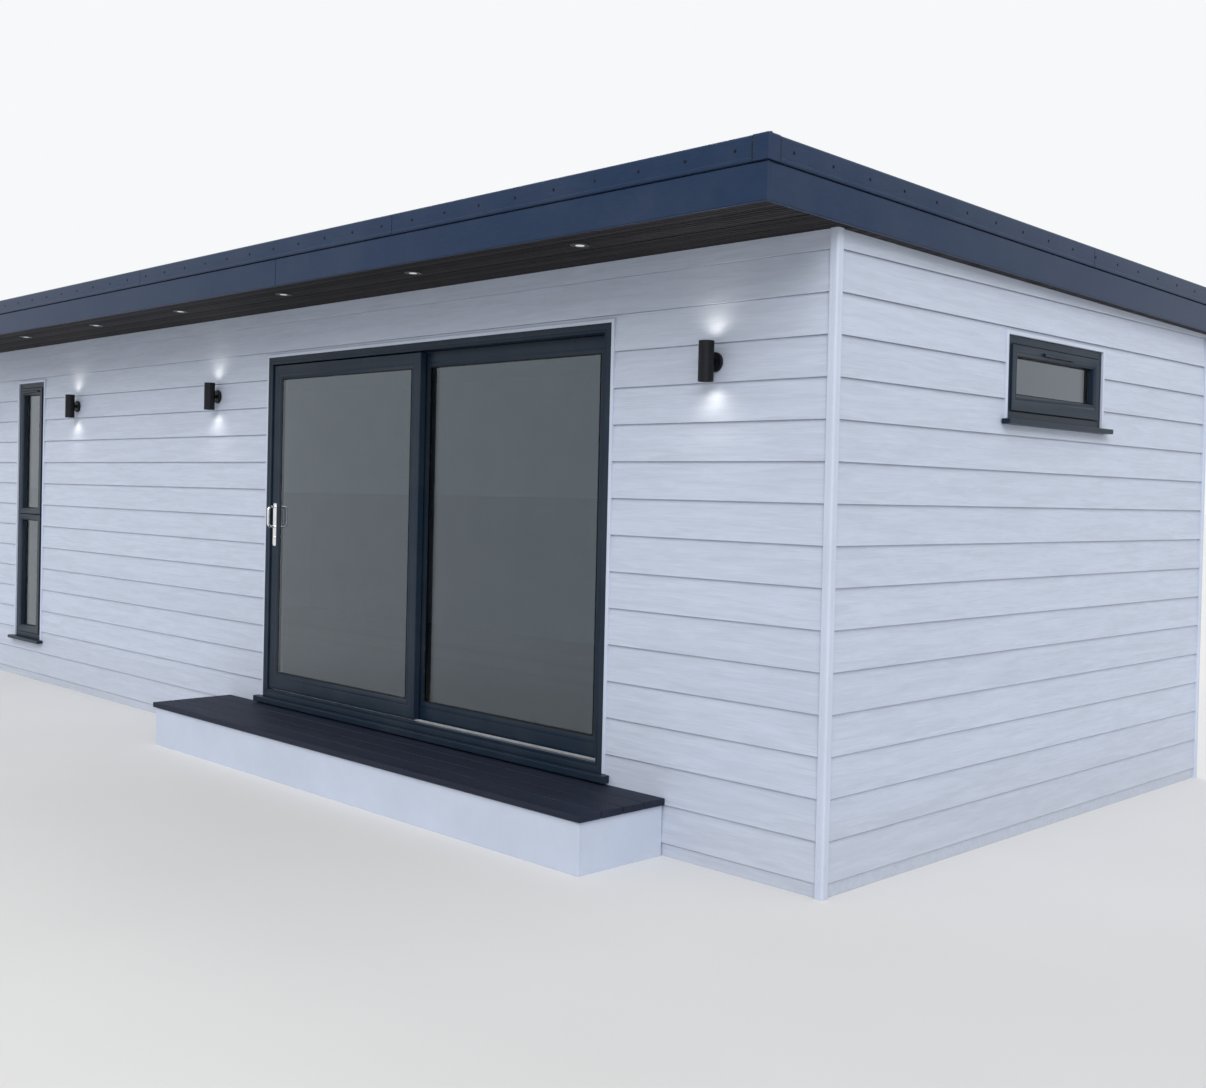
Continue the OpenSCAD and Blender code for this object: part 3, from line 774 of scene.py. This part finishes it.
def screw_places():
    """Point just inside the trim's face and outward direction of each screw."""
    z = (EDGE_FOOT + EDGE_TOP) / 2
    half_x = EDGE_HIGH.x
    first, ends, inside = 0.16, 0.3, 0.003
    for i in range(int((2 * half_x - ends) / SCREW_PITCH) + 1):
        x = half_x - first - i * SCREW_PITCH
        yield Vector((x, EDGE_LOW.y + inside, z - drop(EDGE_LOW.y))), Vector((0, -1, 0))
        yield Vector((x, EDGE_HIGH.y - inside, z - drop(EDGE_HIGH.y))), Vector((0, 1, 0))
    for i in range(int((EDGE_HIGH.y - EDGE_LOW.y - ends) / SCREW_PITCH) + 1):
        y = EDGE_LOW.y + first + i * SCREW_PITCH
        yield Vector((half_x - inside, y, z - drop(y))), Vector((1, 0, 0))
        yield Vector((-half_x + inside, y, z - drop(y))), Vector((-1, 0, 0))


def build_screws():
    shape = Shape()
    radius, root, rim, reach, sides = 0.007, -0.001, 0.0008, 0.0026, 12
    head = [(0, root), (radius, root), (radius, rim), (radius * 0.7, reach * 0.8), (0, reach)]
    for point, out in screw_places():
        side = Vector((0, 0, 1)).cross(out)

        def place(u, v, h):
            return tuple(point + side * u + Vector((0, 0, v)) + out * h)
        shape.lathe(place, head, sides)
    piece("roof_edge_screws", shape, PAINTS["screw"])


def build_soffit():
    """Reeded boards under the overhang, side by side from the fascia to the wall."""
    shape = Shape()
    front, back, reach = PANEL_LOW.y, CORE_FRONT_Y, PANEL_HIGH.x
    board_count, reeds, gap = 4, 5, 0.006
    depth, thick = 0.010, 0.0145
    reed = ((0.0, depth), (0.12, 0.0), (0.80, 0.0), (0.92, depth))
    pitch = (back - front) / board_count
    step = (pitch - gap) / reeds
    for b in range(board_count):
        y0 = front + b * pitch + gap / 2
        y1 = y0 + reeds * step
        under = [(y0 + (r + share) * step, rise) for r in range(reeds) for share, rise in reed]
        outline = under + [(y1, depth), (y1, thick), (y0, thick)]
        profile = [(y, EAVES_Z - drop(y) + rise) for y, rise in outline]
        shape.prism([(-reach, y, z) for y, z in profile], [(reach, y, z) for y, z in profile])
    piece("soffit_boards", shape, PAINTS["soffit"], ["front_soffit"])


def build_roof_seams():
    """Low laps where the sheets of the roof covering meet."""
    shape = Shape()
    seam_x, width, from_edge = 1.6, 0.075, 0.02
    rise, sunk, slant = 0.0015, 0.001, 0.004
    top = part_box("roof_membrane")[1].z + drop(PANEL_LOW.y)
    for x in (-seam_x, seam_x):
        profile = [(x, -sunk), (x + width, -sunk), (x + width - slant, rise), (x + slant, rise)]
        shape.prism(*[
            [(a, y, top - drop(y) + up) for a, up in profile]
            for y in (PANEL_LOW.y + from_edge, PANEL_HIGH.y - from_edge)
        ])
    piece("roof_seams", shape, PAINTS["roof"])


# Door and windows: depth is measured inwards from the face of the cladding

def into_front(a, depth, z):
    return (a, FRONT_Y + depth, z)


def into_right(a, depth, z):
    return (END_X - depth, a, z)


def span_of(node, right_wall=False):
    low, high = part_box(node)
    if right_wall:
        return (low.y, high.y, low.z, high.z)
    return (low.x, high.x, low.z, high.z)


def inset(span, by):
    return (span[0] + by, span[1] - by, span[2] + by, span[3] - by)


def sash_profile(face, back):
    """A sash from its outer edge to its glass, with a rounded bead on both faces."""
    middle = (face + back) / 2
    return [
        (0.0, face + 0.003), (0.035, face), (0.62, face), (0.66, face + 0.0015), (0.70, face + 0.0005),
        (0.86, face + 0.003), (0.95, face + 0.007), (1.0, middle - GLASS_HALF),
        (1.0, middle + GLASS_HALF), (0.95, back - 0.007), (0.86, back - 0.003),
        (0.70, back - 0.0005), (0.66, back - 0.0015), (0.62, back), (0.035, back), (0.0, back - 0.003),
    ]


def gasket(shape, place, glass_span, face, back):
    """A thin black seal round a glass, on both of its sides."""
    middle = (face + back) / 2
    under_bead, over_glass = 0.002, 0.005
    for depth, sign in ((middle - GLASS_HALF, -1), (middle + GLASS_HALF, 1)):
        shape.ring(place, inset(glass_span, -under_bead), inset(glass_span, over_glass), [
            (0.0, depth), (0.3, depth + sign * 0.003), (0.8, depth + sign * 0.0025), (1.0, depth),
        ])


def build_sash(name, node, glass_node, body, lift=0.0):
    """A leaf of the door. One that is lifted keeps a skirt behind its faces, down to its node's foot."""
    left, right, foot, head = span_of(node)
    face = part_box(node)[0].y - FRONT_Y
    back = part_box(node)[1].y - FRONT_Y
    glass = span_of(glass_node)
    shape, seal = Shape(), Shape()
    shape.ring(into_front, (left, right, foot + lift, head), glass, sash_profile(face, back))
    gasket(seal, into_front, glass, face, back)
    if lift:
        skirt, set_back = 0.0065, 0.003
        for near in (FRONT_Y + face + set_back, FRONT_Y + back - set_back - skirt):
            shape.block((left, near, foot), (right, near + skirt, foot + lift + set_back))
    piece(name, shape, PAINTS["frame_z"], [node], body)
    piece(name + "_seal", seal, PAINTS["rubber"], (), body)


def build_door():
    low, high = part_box("door_frame")
    face, back = low.y - FRONT_Y, high.y - FRONT_Y
    outer = span_of("door_frame")
    inner = inset(outer, outer[1] - span_of("fixed_door_sash")[1])
    shape = Shape()
    shape.ring(into_front, outer, inner, [
        (0.0, face + 0.002), (0.05, face), (0.55, face), (0.62, face + 0.002), (0.70, face + 0.0005),
        (0.93, face + 0.001), (1.0, face + 0.005), (1.0, back), (0.0, back),
    ])
    piece("door_outer_frame", shape, PAINTS["frame_z"], ["door_frame"])
    build_sash("fixed_sash", "fixed_door_sash", "fixed_door_glass", "building")
    build_sash("sliding_sash", "sliding_door_sash", "sliding_door_glass", "sliding_door", SLIDING_LIFT)


def plate_outline(low, high, radius=0.010, steps=4):
    """A handle's back plate seen from the front, with round corners."""
    outline = []
    for x, z, start in (
        (high.x - radius, high.z - radius, 0), (low.x + radius, high.z - radius, 90),
        (low.x + radius, low.z + radius, 180), (high.x - radius, low.z + radius, 270),
    ):
        for i in range(steps + 1):
            angle = math.radians(start + 90 * i / steps)
            outline.append((x + radius * math.cos(angle), z + radius * math.sin(angle)))
    return outline


def pull_path(root, far, top, foot, bend=0.022, steps=8):
    """Middle line of a pull, as distance from the sash and height: out, down and back in."""
    path = [(root, top)]
    for z, start in ((top - bend, 0), (foot + bend, 90)):
        for i in range(steps + 1):
            angle = math.radians(start + 90 * i / steps)
            path.append((far - bend + bend * math.sin(angle), z + bend * math.cos(angle)))
    return path + [(root, foot)]


def build_handle(name, node, inner_side):
    """A back plate, a pull and a lock cover on one face of the sliding sash."""
    low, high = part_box(node)
    sash_low, sash_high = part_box("sliding_door_sash")
    base, out = (sash_high.y, 1) if inner_side else (sash_low.y, -1)
    mid_x, mid_z = (low.x + high.x) / 2, (low.z + high.z) / 2
    plate, arris, bar = 0.008, 0.002, 0.008
    from_top, pull_height, lock_up = 0.014, 0.140, 0.055
    outline = plate_outline(low, high)
    shape = Shape()

    def plate_loop(depth, shrink=0.0):
        narrower, lower = 1 - shrink, 1 - shrink / 6
        return [
            (mid_x + (x - mid_x) * narrower, base + out * depth, mid_z + (z - mid_z) * lower)
            for x, z in outline
        ]
    shape.prism(plate_loop(0.0), plate_loop(plate - arris))
    shape.prism(plate_loop(plate - arris), plate_loop(plate, 0.1))
    top = high.z - from_top - bar
    path = pull_path(plate - 0.001, high.y - low.y - bar, top, top - pull_height + 2 * bar)
    shape.tube([Vector((mid_x, base + out * depth, z)) for depth, z in path], bar)

    def lock(u, v, h):
        return (mid_x + u, base + out * (plate + h), low.z + lock_up + v)
    shape.lathe(lock, [(0, -0.001), (0.0085, -0.001), (0.0085, 0.003), (0.0075, 0.004), (0, 0.004)], 24)
    piece(name, shape, PAINTS["chrome"], [node], "sliding_door")


def build_vent(prefix, place, middle, head):
    """The hood of a trickle vent below the head of a window."""
    half, below = 0.150, 0.080
    profile = [(0.001, 0.0), (-0.012, 0.002), (-0.012, 0.012), (-0.008, 0.017), (0.001, 0.018)]
    vent = Shape()
    vent.prism(*[
        [place(a, depth, head - below + z) for depth, z in profile] for a in (middle - half, middle + half)
    ])
    piece(prefix + "_window_vent", vent, PAINTS["frame_x"])


def build_window(prefix, place, right_wall, panes):
    """A frame, a sash for each pane and their seals. panes lists (foot, head, glass foot, glass head)."""
    node = prefix + "_window_frame"
    left, right, low, high = span_of(node, right_wall)
    outer = (left, right, low, high)
    shape, seal = Shape(), Shape()
    shape.ring(place, outer, inset(outer, WINDOW_FACE), [
        (0.0, 0.010), (0.05, 0.008), (0.75, 0.008), (0.80, 0.011), (1.0, 0.013), (1.0, 0.078), (0.0, 0.078),
    ])
    for foot, head, glass_foot, glass_head in panes:
        sash = (left + REVEAL, right - REVEAL, low + foot, low + head)
        glass = (left + PANE_FACE, right - PANE_FACE, low + glass_foot, low + glass_head)
        shape.ring(place, sash, glass, sash_profile(*WINDOW_SASH_DEPTHS))
        gasket(seal, place, glass, *WINDOW_GLASS_DEPTHS)
    piece(prefix + "_window", shape, PAINTS["frame_z"], [node])
    piece(prefix + "_window_seal", seal, PAINTS["rubber"])
    build_vent(prefix, place, (left + right) / 2, high)


def build_windows():
    narrow = span_of("narrow_window_frame")
    height = narrow[3] - narrow[2]
    gap, glass_gap = 0.002, 0.049
    build_window("narrow", into_front, False, [
        (REVEAL, TRANSOM - gap, PANE_FACE, TRANSOM - glass_gap),
        (TRANSOM + gap, height - REVEAL, TRANSOM + glass_gap, height - PANE_FACE),
    ])
    small = span_of("small_window_frame", True)
    height, glass_foot = small[3] - small[2], 0.123
    build_window("small", into_right, True, [(REVEAL, height - REVEAL, glass_foot, height - PANE_FACE)])


# Lamps and step

def lamp_places():
    """Middle of each wall light on the cladding, from the frame's row of lights."""
    low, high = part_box("wall_lights")
    door_low, door_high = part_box("door_frame")
    window_low, window_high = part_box("narrow_window_frame")
    gap = high.x - PLATE_R - door_high.x
    z = (low.z + high.z) / 2
    return [(x, z) for x in (door_high.x + gap, door_low.x - gap, window_high.x + gap, window_low.x - gap)]


def tube_profile(half, inner, sunk, arris=0.001):
    """An open tube with a recess at both ends."""
    upper = [(LAMP_R, half - arris), (LAMP_R - arris, half), (inner, half), (inner, sunk), (0, sunk)]
    return [(radius, -height) for radius, height in reversed(upper)] + upper


def build_wall_lights():
    """For each light a round plate and a neck on the wall, and a tube with a lens at both ends."""
    shape, lens = Shape(), Shape()
    low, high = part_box("wall_lights")
    half = (high.z - low.z) / 2
    recess, wall, neck_r, arris = 0.012, 0.004, 0.011, 0.002
    inner, sunk = LAMP_R - wall, half - recess
    shoulder, neck_end = PLATE_T - arris, PLATE_T + LAMP_NECK + 0.008
    plate_profile = [(0, 0), (PLATE_R, 0), (PLATE_R, shoulder), (PLATE_R - arris, PLATE_T), (0, PLATE_T)]
    neck_profile = [(0, shoulder), (neck_r, shoulder), (neck_r, neck_end), (0, neck_end)]
    lens_profile = [(0, 0.0), (inner - 0.004, 0.0), (inner - 0.006, 0.003), (0, 0.004)]
    for x, z in lamp_places():
        def plate(u, v, h):
            return (x + u, FRONT_Y - h, z + v)

        def tube(u, v, h):
            return (x + u, FRONT_Y - LAMP_OUT + v, z + h)
        shape.lathe(plate, plate_profile)
        shape.lathe(plate, neck_profile)
        shape.lathe(tube, tube_profile(half, inner, sunk), 40)
        for end in (-1, 1):
            lens.lathe(tube, [(radius, end * (sunk + rise)) for radius, rise in lens_profile])
    piece("up_down_lights", shape, PAINTS["lamp"], ["wall_lights"])
    piece("up_down_lenses", lens, PAINTS["lens"])


def build_downlight_lenses():
    """A glowing lens in the middle of each downlight."""
    low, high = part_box("downlights")
    count, radius, lens_r, below = 7, 0.045, 0.021, 0.003
    middle_y = (low.y + high.y) / 2
    pitch = (high.x - low.x - 2 * radius) / (count - 1)
    z = EAVES_Z - drop(middle_y) - below
    shape = Shape()
    for i in range(count):
        x = low.x + radius + i * pitch

        def place(u, v, h):
            return (x + u, middle_y + v, z - FALL_RATE * v + h)
        shape.lathe(place, [(0, 0.001), (lens_r, 0.001), (lens_r - 0.001, -0.0006), (0, -0.001)], 28)
    piece("downlight_lenses", shape, PAINTS["dim_lens"])


def build_step():
    """Deck boards side by side along the step, with bevelled arrises."""
    low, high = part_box("step_deck")
    count, arris = 4, 0.003
    joints = [low.y + i * (high.y - low.y) / count for i in range(1, count)]
    shape = Shape()
    for y0, y1 in runs(low.y, high.y, joints):
        profile = [
            (y0, low.z + arris), (y0 + arris, low.z), (y1 - arris, low.z), (y1, low.z + arris),
            (y1, high.z - arris), (y1 - arris, high.z), (y0 + arris, high.z), (y0, high.z - arris),
        ]
        shape.prism([(low.x, y, z) for y, z in profile], [(high.x, y, z) for y, z in profile])
    piece("deck_boards", shape, PAINTS["deck"], ["step_deck"])


def dress_frame():
    """Materials and rounded edges for the CAD nodes that show as they are."""
    dress(PAINTS["timber"], "base_bearers", "floor_joists", "roof_panel")
    dress(PAINTS["floor"], "floor_deck")
    dress(PAINTS["lining"], "front_wall_left", "front_wall_right", "front_wall_over_door")
    dress(PAINTS["lining"], "right_wall", "left_wall", "back_wall", "ceiling")
    dress(PAINTS["white_x"], "base_trim")
    dress(PAINTS["white_trim"], "opening_trims", "step_frame")
    dress(PAINTS["roof"], "roof_membrane")
    dress(PAINTS["soffit"], "side_soffits")
    dress(PAINTS["steel"], "downlights")
    dress(PAINTS["frame_x"], "door_cill", "narrow_window_cill", "small_window_cill")
    dress(PAINTS["aluminium"], "door_track")
    dress(PAINTS["glass"], "fixed_door_glass", "sliding_door_glass")
    dress(PAINTS["glass"], "narrow_window_glass", "small_window_glass")
    for node, width in (
        ("opening_trims", 0.002), ("door_cill", 0.004), ("narrow_window_cill", 0.004),
        ("small_window_cill", 0.004), ("step_frame", 0.002), ("base_trim", 0.002), ("door_track", 0.001),
    ):
        soften(node, width)


# Stage, light and camera

def mixed_background(tree, surface, shown, lighting):
    """Shows one background to camera, glossy and clear rays, and lights the scene with the other."""
    path = tree.nodes.new("ShaderNodeLightPath")
    seen = path.outputs["Is Camera Ray"]
    for ray in ("Is Glossy Ray", "Is Transmission Ray"):
        either = tree.nodes.new("ShaderNodeMath")
        either.operation = "MAXIMUM"
        tree.links.new(seen, either.inputs[0])
        tree.links.new(path.outputs[ray], either.inputs[1])
        seen = either.outputs[0]
    mix = tree.nodes.new("ShaderNodeMixShader")
    tree.links.new(seen, mix.inputs[0])
    tree.links.new(lighting.outputs[0], mix.inputs[1])
    tree.links.new(shown.outputs[0], mix.inputs[2])
    tree.links.new(mix.outputs[0], surface)


def build_world(light_strength, shown_colour):
    world = bpy.data.worlds.new("studio")
    bpy.context.scene.world = world
    world.use_nodes = True
    tree = world.node_tree
    lighting = tree.nodes["Background"]
    lighting.inputs["Color"].default_value = (1.0, 1.0, 1.0, 1.0)
    lighting.inputs["Strength"].default_value = light_strength
    shown = tree.nodes.new("ShaderNodeBackground")
    shown.inputs["Color"].default_value = (*shown_colour, 1.0)
    shown.inputs["Strength"].default_value = 1.0
    mixed_background(tree, tree.nodes["World Output"].inputs["Surface"], shown, lighting)


def build_floor(reach):
    """A plain pale floor on the ground, square and as far as reach from the middle."""
    paint = Paint("studio_floor", roughness=0.9)
    cloud = paint.noise(0.3, 3.0)
    paint.colour(paint.ramp(cloud, ((0.3, grey(0.70)), (0.7, grey(0.74)))))
    mesh = bpy.data.meshes.new("studio_floor")
    corners = [(-reach, -reach, 0), (reach, -reach, 0), (reach, reach, 0), (-reach, reach, 0)]
    mesh.from_pydata(corners, [], [(0, 1, 2, 3)])
    mesh.materials.append(paint.material)
    floor = bpy.data.objects.new("studio_floor", mesh)
    bpy.context.scene.collection.objects.link(floor)


def build_sun(name, energy, softness, towards):
    """A soft distant light. towards points from the building to the light."""
    light = bpy.data.lights.new(name, "SUN")
    light.energy = energy
    light.angle = softness
    obj = bpy.data.objects.new(name, light)
    obj.rotation_mode = "QUATERNION"
    obj.rotation_quaternion = (-Vector(towards)).to_track_quat("-Z", "Y")
    bpy.context.scene.collection.objects.link(obj)


def build_glow():
    """Warm light from both ends of each wall light, over the wall above and below it."""
    tip, beam_degrees, warm = 0.090, 150, (1.0, 0.90, 0.74)
    for x, z in lamp_places():
        for end, turn in ((-1, 0.0), (1, math.pi)):
            light = bpy.data.lights.new("wall_glow", "SPOT")
            light.energy = GLOW_WATTS
            light.color = warm
            light.spot_size = math.radians(beam_degrees)
            light.spot_blend = 1.0
            light.shadow_soft_size = 0.02
            obj = bpy.data.objects.new("wall_glow", light)
            obj.location = (x, FRONT_Y - LAMP_OUT, z + end * tip)
            obj.rotation_euler = (turn, 0.0, 0.0)
            bpy.context.scene.collection.objects.link(obj)


def build_camera():
    ahead = Vector((
        math.sin(CAMERA_YAW) * math.cos(CAMERA_PITCH),
        math.cos(CAMERA_YAW) * math.cos(CAMERA_PITCH),
        math.sin(CAMERA_PITCH),
    ))
    right = Vector((math.cos(CAMERA_YAW), -math.sin(CAMERA_YAW), 0.0))
    up = right.cross(ahead)
    turned = right * math.cos(CAMERA_ROLL) + up * math.sin(CAMERA_ROLL)
    raised = up * math.cos(CAMERA_ROLL) - right * math.sin(CAMERA_ROLL)
    camera = bpy.data.cameras.new("photo_camera")
    camera.sensor_width = SENSOR
    camera.lens = FOCAL_PX / PHOTO_SIZE[0] * SENSOR
    camera.shift_y = (AXIS_ROW_PX - PHOTO_SIZE[1] / 2) / PHOTO_SIZE[0]
    camera.clip_start, camera.clip_end = 0.05, 500.0
    obj = bpy.data.objects.new("photo_camera", camera)
    place = Vector((END_X, FRONT_Y, 0.0)) + CAMERA_FROM_CORNER
    columns = Matrix((turned, raised, -ahead)).transposed().to_4x4()
    obj.matrix_world = Matrix.Translation(place) @ columns
    bpy.context.scene.collection.objects.link(obj)
    bpy.context.scene.camera = obj


build_camera()
dress_frame()
build_cladding()
build_corner_trims()
build_roof_edge()
build_corner_covers()
build_screws()
build_soffit()
build_roof_seams()
build_door()
build_handle("outer_pull", "outer_handle", False)
build_handle("inner_pull", "inner_handle", True)
build_windows()
build_wall_lights()
build_downlight_lenses()
build_step()
build_floor(reach=300.0)
build_world(light_strength=0.66, shown_colour=(0.93, 0.94, 0.95))
build_sun("key_light", energy=1.9, softness=0.7, towards=(0.55, -0.62, 0.56))
build_sun("back_light", energy=0.8, softness=0.5, towards=(-0.62, 0.50, 0.60))
build_glow()
bpy.context.scene.view_settings.view_transform = "Standard"
